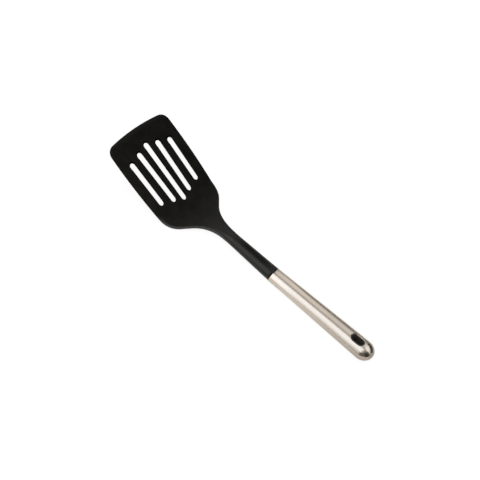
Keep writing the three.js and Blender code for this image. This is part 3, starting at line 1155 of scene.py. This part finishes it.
@dataclass
class SteelHandle:
    """Tapered oval steel tube with a domed end and a hang slot whose edges are turned in."""

    length: float = 127.4
    dome_length: float = 11.7
    mouth_half_width: float = 8.8
    butt_half_width: float = 11.35
    oval: float = 0.7
    wall: float = 0.9
    mouth_round: float = 0.3
    hang_to_end: float = 20.9
    hang_length: float = 15.5
    hang_width: float = 9.0
    lip_depth: float = 3.2
    lip_round: float = 0.45
    skin_rise: float = 0.1  # least Z of the normals of the faces that the hang slot opens in
    around: int = 160
    barrel_rows: int = 78
    dome_steps: int = 24
    mouth_steps: int = 4

    def dome_start(self) -> float:
        """Distance from the mouth to the dome."""
        return self.length - self.dome_length

    def half_width(self, back: float, inset: float = 0.0) -> float:
        """Half width of the handle, or of a skin set in from it.

        Args:
            back: Distance behind the mouth.
            inset: How far the skin is set in.

        Returns:
            The half width there.
        """
        if back <= self.dome_start():
            return lerp(self.mouth_half_width, self.butt_half_width, back / self.dome_start()) - inset
        along = (back - self.dome_start()) / (self.dome_length - inset)
        return (self.butt_half_width - inset) * math.sqrt(max(1 - along**2, 0.0))

    def half_height(self, x: float, y: float) -> float:
        """Height of the handle's outside over its mid-plane at a place in the plan."""
        return self.oval * math.sqrt(self.half_width(-x) ** 2 - y**2)

    def hang_slot(self) -> Stadium:
        """The hang slot in the plan."""
        return Stadium(self.hang_to_end - self.length, 0.0, self.hang_length, self.hang_width)

    def hang_crown(self) -> float:
        """Height of the handle's outside over the hang slot's middle."""
        return self.half_width(self.length - self.hang_to_end) * self.oval

    def skin(self, inset: float) -> list[Pair]:
        """Half of the lengthwise section of the outside, or of a skin set in from it.

        Args:
            inset: How far the skin is set in.

        Returns:
            X and half width, from the tip of the dome to the mouth.
        """
        reach = self.dome_length - inset
        turns = reversed(quarter_turn(self.dome_steps))
        dome = [self.dome_start() + reach * math.sin(turn) for turn in turns]
        barrel = spread(self.dome_start(), self.mouth_round, self.barrel_rows)[1:]
        return [(-back, self.half_width(back, inset)) for back in dome + barrel]

    def profile(self) -> list[Pair]:
        """Half of the handle's lengthwise section.

        Returns:
            X and half width, from the tip of the dome along the outside to the mouth and back inside.
        """
        lip = [
            (
                self.mouth_round * (math.sin(turn) - 1),
                self.mouth_half_width - self.mouth_round * (1 - math.cos(turn)),
            )
            for turn in quarter_turn(self.mouth_steps)
        ]
        inner_edge = (-self.mouth_round / 2, self.mouth_half_width - self.wall)
        return [*self.skin(0.0), *lip, inner_edge, *reversed(self.skin(self.wall))]

    def revolve(self) -> BMesh:
        """Spins the section into the tube and its dome.

        Returns:
            One oval shell, without the slot.
        """
        bm = bmesh.new()
        verts = [bm.verts.new((x, half_width, 0.0)) for x, half_width in self.profile()]
        edges = [bm.edges.new(pair) for pair in zip(verts, verts[1:])]
        bmesh.ops.spin(
            bm, geom=[*verts, *edges], cent=(0.0, 0.0, 0.0), axis=ALONG,
            angle=2 * math.pi, steps=self.around, use_merge=True,
        )
        bmesh.ops.remove_doubles(bm, verts=bm.verts, dist=WELD)
        bmesh.ops.scale(bm, vec=(1.0, 1.0, self.oval), verts=bm.verts)
        bmesh.ops.recalc_face_normals(bm, faces=bm.faces)
        return bm

    def cut_hang_slot(self, bm: BMesh, side: Side) -> None:
        """Opens the slot on one side and turns its edges in.

        Args:
            bm: The shell.
            side: Side that the slot is opened on.
        """
        slot = self.hang_slot()
        outer, inner = slot.grown(self.lip_round), slot.grown(self.wall)
        near = [
            face for face in bm.faces
            if face.calc_center_median().z * side.value > 0 and outer.near(face)
        ]
        outside = [face for face in near if face.normal.z * side.value > self.skin_rise]
        inside = [face for face in near if face.normal.z * side.value < -self.skin_rise]
        rim = outer.roll(bm, outer.open_in(bm, outside), self.lip_round, side)
        verts, end = extrude_rim(bm, rim)
        for vert in verts:
            vert.co.z = side.value * (self.hang_crown() - self.lip_depth)
        end = slot.extend(bm, end, inward=-self.wall)
        bmesh.ops.bridge_loops(bm, edges=end + inner.open_in(bm, inside))

    def build(self) -> BMesh:
        """Makes the handle.

        Returns:
            Its shell's mesh.
        """
        bm = self.revolve()
        for side in Side:
            self.cut_hang_slot(bm, side)
        return bm

    def dress(self, lie: Matrix) -> Object:
        """The finished piece, laid in the frame."""
        nodes = ("handle_tube", "handle_end_dome")
        return finish_piece("steel_handle", self.build(), lie, [HANDLE_STEEL], Slot.SATIN_STEEL, *nodes)


@dataclass
class HangSlotLiner:
    """Nylon sleeve through the hang slot, cut to the handle's curve, held by a collar inside it."""

    handle: SteelHandle
    clearance: float = 0.3
    wall: float = 0.8
    recess: float = 0.3
    collar: float = 0.9
    edge_round: float = 0.3
    edge_steps: int = 3
    sharp: float = 1.0  # radians, the least angle of an edge that is rounded
    arc_steps: int = 24

    def outline(self) -> Stadium:
        """The sleeve's outside in the plan."""
        return self.handle.hang_slot().grown(-self.clearance)

    def top(self) -> float:
        """Height of the sleeve's ends before they are cut to the curve."""
        return self.handle.hang_crown() - self.recess

    def section(self) -> list[Pair]:
        """Section of the sleeve's wall with its collar.

        Returns:
            Distance from the slot's middle line and height of each corner.
        """
        outer = self.outline().width / 2
        inner, wide = outer - self.wall, outer + self.collar
        top = self.top()
        band = self.handle.hang_crown() - self.handle.lip_depth - self.clearance
        upper = [(wide, band), (outer, band), (outer, top), (inner, top)]
        return [(across, -up) for across, up in reversed(upper)] + upper

    def sweep(self) -> BMesh:
        """Sweeps the section round the slot.

        Returns:
            The sleeve with level ends.
        """
        rear, front = self.outline().ends()
        bm = bmesh.new()
        verts = [bm.verts.new((front.x, -across, up)) for across, up in self.section()]
        edges = [bm.edges.new(pair) for pair in zip(verts, verts[1:] + verts[:1])]
        for centre, back in ((front, rear - front), (rear, front - rear)):
            spun = bmesh.ops.spin(
                bm, geom=[*verts, *edges], cent=centre, axis=UP, angle=math.pi, steps=self.arc_steps,
            )
            verts, edges = extrude_rim(bm, made_of(BMEdge, spun["geom_last"]))
            bmesh.ops.translate(bm, vec=back, verts=verts)
        bmesh.ops.remove_doubles(bm, verts=bm.verts, dist=WELD)
        bmesh.ops.recalc_face_normals(bm, faces=bm.faces)
        return bm

    def build(self) -> BMesh:
        """Makes the sleeve, its ends cut to the handle's curve and rounded.

        Returns:
            Its mesh.
        """
        bm = self.sweep()
        ends = {vert for vert in bm.verts if abs(abs(vert.co.z) - self.top()) < WELD}
        rims = [
            edge for edge in bm.edges
            if ends.issuperset(edge.verts) and abs(edge.calc_face_angle(0.0)) > self.sharp
        ]
        for vert in ends:
            height = self.handle.half_height(vert.co.x, vert.co.y) - self.recess
            vert.co.z = math.copysign(height, vert.co.z)
        bmesh.ops.bevel(
            bm, geom=rims, affect="EDGES", offset=self.edge_round, segments=self.edge_steps,
            profile=0.5, material=-1,
        )
        return bm

    def dress(self, lie: Matrix) -> Object:
        """The finished piece, laid in the frame."""
        node = "hang_slot_liner"
        return finish_piece("slot_liner", self.build(), lie, [LINER_NYLON], Slot.BLACK_NYLON, node)


class InnerPieces:
    """The pieces inside the handle, which keep their solids."""

    def dress(self) -> None:
        """Gives each inner piece its finish."""
        plated = PLATED_STEEL.material()
        finishes = {
            "handle_core": CORE_NYLON.material(),
            "tang_seal_ring": SEAL_SILICONE.material(),
            "screw_washer": plated,
            "tang_screw": plated,
        }
        for node, material in finishes.items():
            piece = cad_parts[node]
            piece.data.materials.clear()
            piece.data.materials.append(material)
            LOG.info("%s: %s", node, material.name)


@dataclass(frozen=True)
class ToolLie:
    """How the tool lies on the worktop, on the underside of its tapered handle."""

    handle: SteelHandle
    flats: int = 32  # sides of the solid handle, which lies on the lowest one

    def tilt(self) -> float:
        """Slope of the handle's underside in radians."""
        taper = (self.handle.butt_half_width - self.handle.mouth_half_width) * self.handle.oval
        return math.atan(taper / self.handle.dome_start())

    def matrix(self) -> Matrix:
        """Works out the lie from the handle's sizes and the rear end of the frame's box.

        Returns:
            Matrix from the tool's axes in millimetres to the frame in metres.
        """
        tilt = self.tilt()
        to_rear = self.handle.length * math.cos(tilt)
        to_floor = self.handle.half_height(0.0, 0.0) * math.cos(tilt) * math.cos(math.pi / self.flats)
        move = Matrix.Translation(Vector((CAD_BOX[0].x / MM + to_rear, 0.0, to_floor)))
        return Matrix.Scale(MM, 4) @ move @ Matrix.Rotation(tilt, 4, "Y")


# Studio, in the frame's metres

HANDLE_MIDDLE = (-0.1, 0.0, 0.008)
FLAT_SLOPE = 0.01  # most slope of a card that lies flat


class Tone(Enum):
    """Colours of the studio's cards, where 1 is white."""

    WHITE = (1.0, 1.0, 1.0)
    WHITE_HOT = (1.62, 1.72, 1.88)
    COOL = (1.42, 1.46, 1.53)
    CREAM_HOT = (2.0, 1.9, 1.74)
    CREAM = (1.45, 1.38, 1.28)
    MOUTH_HOT = (1.75, 1.88, 2.1)
    MOUTH = (1.3, 1.36, 1.45)
    WARM = (1.15, 1.13, 1.1)
    PALE = (0.7, 0.68, 0.66)
    SOFT = (0.75, 0.73, 0.7)
    GREY = (0.6, 0.58, 0.56)
    HALF = (0.5, 0.48, 0.46)
    DUSK = (0.2, 0.19, 0.18)
    DIM = (0.16, 0.155, 0.15)
    BLACK = (0.05, 0.048, 0.045)


def stage_panel(name: str, centre: Triple, size: Pair, facing: Triple, long_axis: Triple) -> Object:
    """A flat rectangle on the stage.

    Args:
        name: Name of the panel.
        centre: Its middle.
        size: Its length along the long axis and its breadth.
        facing: Direction of its normal.
        long_axis: Direction of its length.

    Returns:
        The panel's object.
    """
    bm = bmesh.new()
    bmesh.ops.create_grid(bm, x_segments=1, y_segments=1, size=0.5)
    across = bm.verts.layers.float.new(Layer.ACROSS.value)
    for vert in bm.verts:
        vert[across] = vert.co.y
    normal = Vector(facing).normalized()
    along = Vector(long_axis)
    along = (along - normal * along.dot(normal)).normalized()
    turn = Matrix((along, normal.cross(along), normal)).transposed().to_4x4()
    scale = Matrix.Diagonal((*size, 1.0, 1.0))
    bmesh.ops.transform(bm, matrix=Matrix.Translation(Vector(centre)) @ turn @ scale, verts=bm.verts)
    panel = link_mesh(name, bm)
    return panel


@dataclass(frozen=True)
class Card:
    """A card that only shows in reflections."""

    name: str
    centre: Triple
    size: Pair  # length along its long side and breadth
    tones: tuple[Tone, Tone]  # at the two ends of the fade
    fade: Pair = (0.0, 1.0)  # its start and end across the breadth, which runs from -0.5 to 0.5
    facing: Triple = DOWN
    long_axis: Triple = ALONG  # of a card that lies flat; that of other cards is level

    @classmethod
    def distant(cls, name: str, bearing: Pair, size: Pair, tone: Tone, distance: float = 3.0) -> "Card":
        """A card of one tone at some distance from the handle, facing it.

        Args:
            name: Name of the card.
            bearing: Azimuth and elevation seen from the handle, in degrees.
            size: Its breadth and height.
            tone: Its colour.
            distance: Distance from the handle's middle.

        Returns:
            The card.
        """
        azimuth, elevation = (math.radians(angle) for angle in bearing)
        level = math.cos(elevation)
        way = Vector((level * math.cos(azimuth), level * math.sin(azimuth), math.sin(elevation)))
        centre = Vector(HANDLE_MIDDLE) + way * distance
        return cls(name, tuple(centre), size, (tone, tone), facing=tuple(-way))

    def build(self) -> None:
        """Sets the card up with its glow."""
        level = Vector(UP).cross(Vector(self.facing))
        long_axis = self.long_axis if level.length < FLAT_SLOPE else tuple(level)
        card = stage_panel(self.name, self.centre, self.size, self.facing, long_axis)
        board = NodeBoard.for_material(self.name)
        part = board.ranged(board.attribute(Layer.ACROSS), self.fade)
        colour = board.blend(part, *(tone.value for tone in self.tones))
        glow = board.add("ShaderNodeEmission", Color=colour, Strength=1.0)
        board.feed("Material Output", "Surface", glow.outputs["Emission"])
        card.data.materials.append(board.owner)
        card.visible_camera = False
        card.visible_diffuse = False
        card.visible_transmission = False
        card.visible_shadow = False


CARDS = (
    Card(
        "overhead_face", centre=(1.35, 2.21, 2.6), size=(3.3, 4.78),
        tones=(Tone.WHITE_HOT, Tone.WHITE), fade=(0.17, -0.46),
    ),
    Card("narrow_card", centre=(1.35, -0.64, 2.6), size=(3.3, 0.92), tones=(Tone.GREY, Tone.GREY)),
    Card(
        "butt_top_card", centre=(-1.3, 1.05, 2.6), size=(3.1, 2.0),
        tones=(Tone.SOFT, Tone.DIM), fade=(0.5, -0.05), long_axis=ACROSS,
    ),
    Card(
        "low_card", centre=(2.0, -3.0, 1.2), size=(4.0, 2.2),
        tones=(Tone.DUSK, Tone.WHITE), fade=(-0.16, 0.5), facing=ACROSS,
    ),
    Card(
        "shaft_card", centre=(0.003, -0.0345, 0.059), size=(0.043, 0.061),
        tones=(Tone.BLACK, Tone.BLACK), facing=(0.0, 0.574, -0.819),
    ),
    Card(
        "shaft_light", centre=(0.051, 0.0705, 0.071), size=(0.138, 0.129),
        tones=(Tone.CREAM_HOT, Tone.CREAM), fade=(0.16, -0.5),
    ),
    Card(
        "mouth_light", centre=(-0.03, 0.0705, 0.071), size=(0.024, 0.129),
        tones=(Tone.MOUTH_HOT, Tone.MOUTH), fade=(0.16, -0.5),
    ),
    Card(
        "mouth_side_card", centre=(-0.004, -0.2, 0.21), size=(0.038, 0.38),
        tones=(Tone.HALF, Tone.WARM), fade=(-0.42, -0.15), facing=ACROSS,
    ),
    # Painted shadow of the handle on the floor beside it, seen only in reflections, darker towards the
    # butt.
    Card(
        "floor_shade", centre=(-0.225, 0.128, 0.0004), size=(0.244, 0.35),
        tones=(Tone.WHITE, Tone.PALE), fade=(-0.47, -0.186), facing=UP, long_axis=ACROSS,
    ),
    Card.distant("low_rear_card", bearing=(-115.5, 22.0), size=(3.3, 1.9), tone=Tone.BLACK),
    # Painted shadow of the handle on the floor behind its butt, seen only in reflections.
    Card(
        "butt_floor_shade", centre=(-0.309, -0.057, 0.0004), size=(0.282, 0.126),
        tones=(Tone.GREY, Tone.GREY), facing=UP,
    ),
    Card.distant("rear_face", bearing=(-125.0, 57.0), size=(2.1, 1.5), tone=Tone.COOL),
    Card.distant("camera_side_card", bearing=(118.0, 39.0), size=(2.9, 3.3), tone=Tone.DIM),
    Card.distant("butt_side_card", bearing=(165.5, 37.0), size=(2.49, 3.5), tone=Tone.BLACK),
    Card.distant("camera_low_card", bearing=(93.0, 15.0), size=(1.22, 0.79), tone=Tone.DUSK),
    Card.distant(
        "rear_gap_card", bearing=(-160.0, 14.0), size=(2.08, 2.47), tone=Tone.HALF, distance=3.4,
    ),
)


@dataclass
class Studio:
    """Pale floor, soft overhead light, cards for the bands in the steel, and the camera."""

    camera_place: Triple = (-0.24456, 0.5917, 0.84995)
    camera_right: Triple = (-0.7389, -0.6353, 0.2246)
    camera_up: Triple = (0.6292, -0.5310, 0.5676)
    focal_px: float = 1050.0
    image_px: float = 480.0
    sensor: float = 36.0  # millimetres
    fill_light: float = 0.72  # of the light from all round, where 1 is white
    floor_size: float = 12.0
    floor_colour: Triple = (0.9, 0.9, 0.9)
    floor_rough: float = 0.9
    floor_glow: float = 1.05
    floor_glow_share: float = 0.86  # of the glow in the floor that the camera sees
    softbox_place: Triple = (0.3, 0.6, 1.3)
    softbox_aim: Triple = (0.3, 0.6, 0.0)
    softbox_size: Pair = (2.0, 1.4)
    softbox_radiance: float = 1.65  # brightness of its face, where 1 is white

    def camera(self) -> None:
        """Sets the camera at the photograph's angle."""
        data = bpy.data.cameras.new("camera")
        data.sensor_width = self.sensor
        data.lens = self.focal_px / self.image_px * self.sensor
        camera = bpy.data.objects.new("camera", data)
        right, up = Vector(self.camera_right).normalized(), Vector(self.camera_up)
        back = right.cross(up).normalized()
        turn = Matrix((right, back.cross(right), back)).transposed().to_4x4()
        camera.matrix_world = Matrix.Translation(Vector(self.camera_place)) @ turn
        bpy.context.collection.objects.link(camera)
        bpy.context.scene.camera = camera

    def world(self) -> None:
        """Soft light from all round; the background that is seen and mirrored is white."""
        world = bpy.data.worlds.new("studio")
        board = NodeBoard(world)
        rays = board.add("ShaderNodeLightPath").outputs
        seen = board.larger(rays["Is Camera Ray"], rays["Is Transmission Ray"])
        mirrored = board.larger(seen, rays["Is Glossy Ray"])
        board.feed("Background", "Strength", board.ranged(mirrored, (0.0, 1.0), (self.fill_light, 1.0)))
        board.feed("Background", "Color", Tone.WHITE.value)
        bpy.context.scene.world = world

    def floor(self) -> None:
        """White floor that keeps the shadow."""
        board = NodeBoard.for_material("white_floor")
        board.shade(Base_Color=self.floor_colour, Roughness=self.floor_rough, Specular_IOR_Level=0.0)
        rays = board.add("ShaderNodeLightPath").outputs
        glow = board.add("ShaderNodeEmission", Strength=self.floor_glow)
        share = board.ranged(rays["Is Camera Ray"], (0.0, 1.0), (0.0, self.floor_glow_share))
        mix = board.add("ShaderNodeMixShader", Fac=share)
        board.feed(mix, 1, board.tree.nodes["Principled BSDF"].outputs["BSDF"])
        board.feed(mix, 2, glow.outputs["Emission"])
        board.feed("Material Output", "Surface", mix.outputs["Shader"])
        floor = stage_panel("floor", (0.0, 0.0, 0.0), (self.floor_size, self.floor_size), UP, ALONG)
        floor.data.materials.append(board.owner)

    def softbox(self) -> None:
        """Hangs the soft rectangular lamp over the blade."""
        data = bpy.data.lights.new("softbox", "AREA")
        data.shape = "RECTANGLE"
        data.size, data.size_y = self.softbox_size
        data.energy = self.softbox_radiance * math.pi * math.prod(self.softbox_size)
        lamp = bpy.data.objects.new("softbox", data)
        lamp.visible_glossy = False
        lamp.location = self.softbox_place
        away = Vector(self.softbox_place) - Vector(self.softbox_aim)
        lamp.rotation_euler = away.to_track_quat("Z", "Y").to_euler()
        bpy.context.collection.objects.link(lamp)

    def build(self) -> None:
        """Sets up the whole studio."""
        bpy.context.scene.view_settings.view_transform = "Standard"
        self.camera()
        self.world()
        self.floor()
        self.softbox()
        for card in CARDS:
            card.build()
        LOG.info("studio: %d cards", len(CARDS))


def main() -> None:
    """Builds the spatula and its studio."""
    logging.basicConfig(level=logging.INFO, format="%(message)s")
    line = MidLine()
    handle = SteelHandle()
    lie = ToolLie(handle).matrix()
    for piece in (SlottedHead(line, BladePlan(line.head_length)), handle, HangSlotLiner(handle)):
        piece.dress(lie)
    InnerPieces().dress()
    Studio().build()


if __name__ == "__main__":
    main()
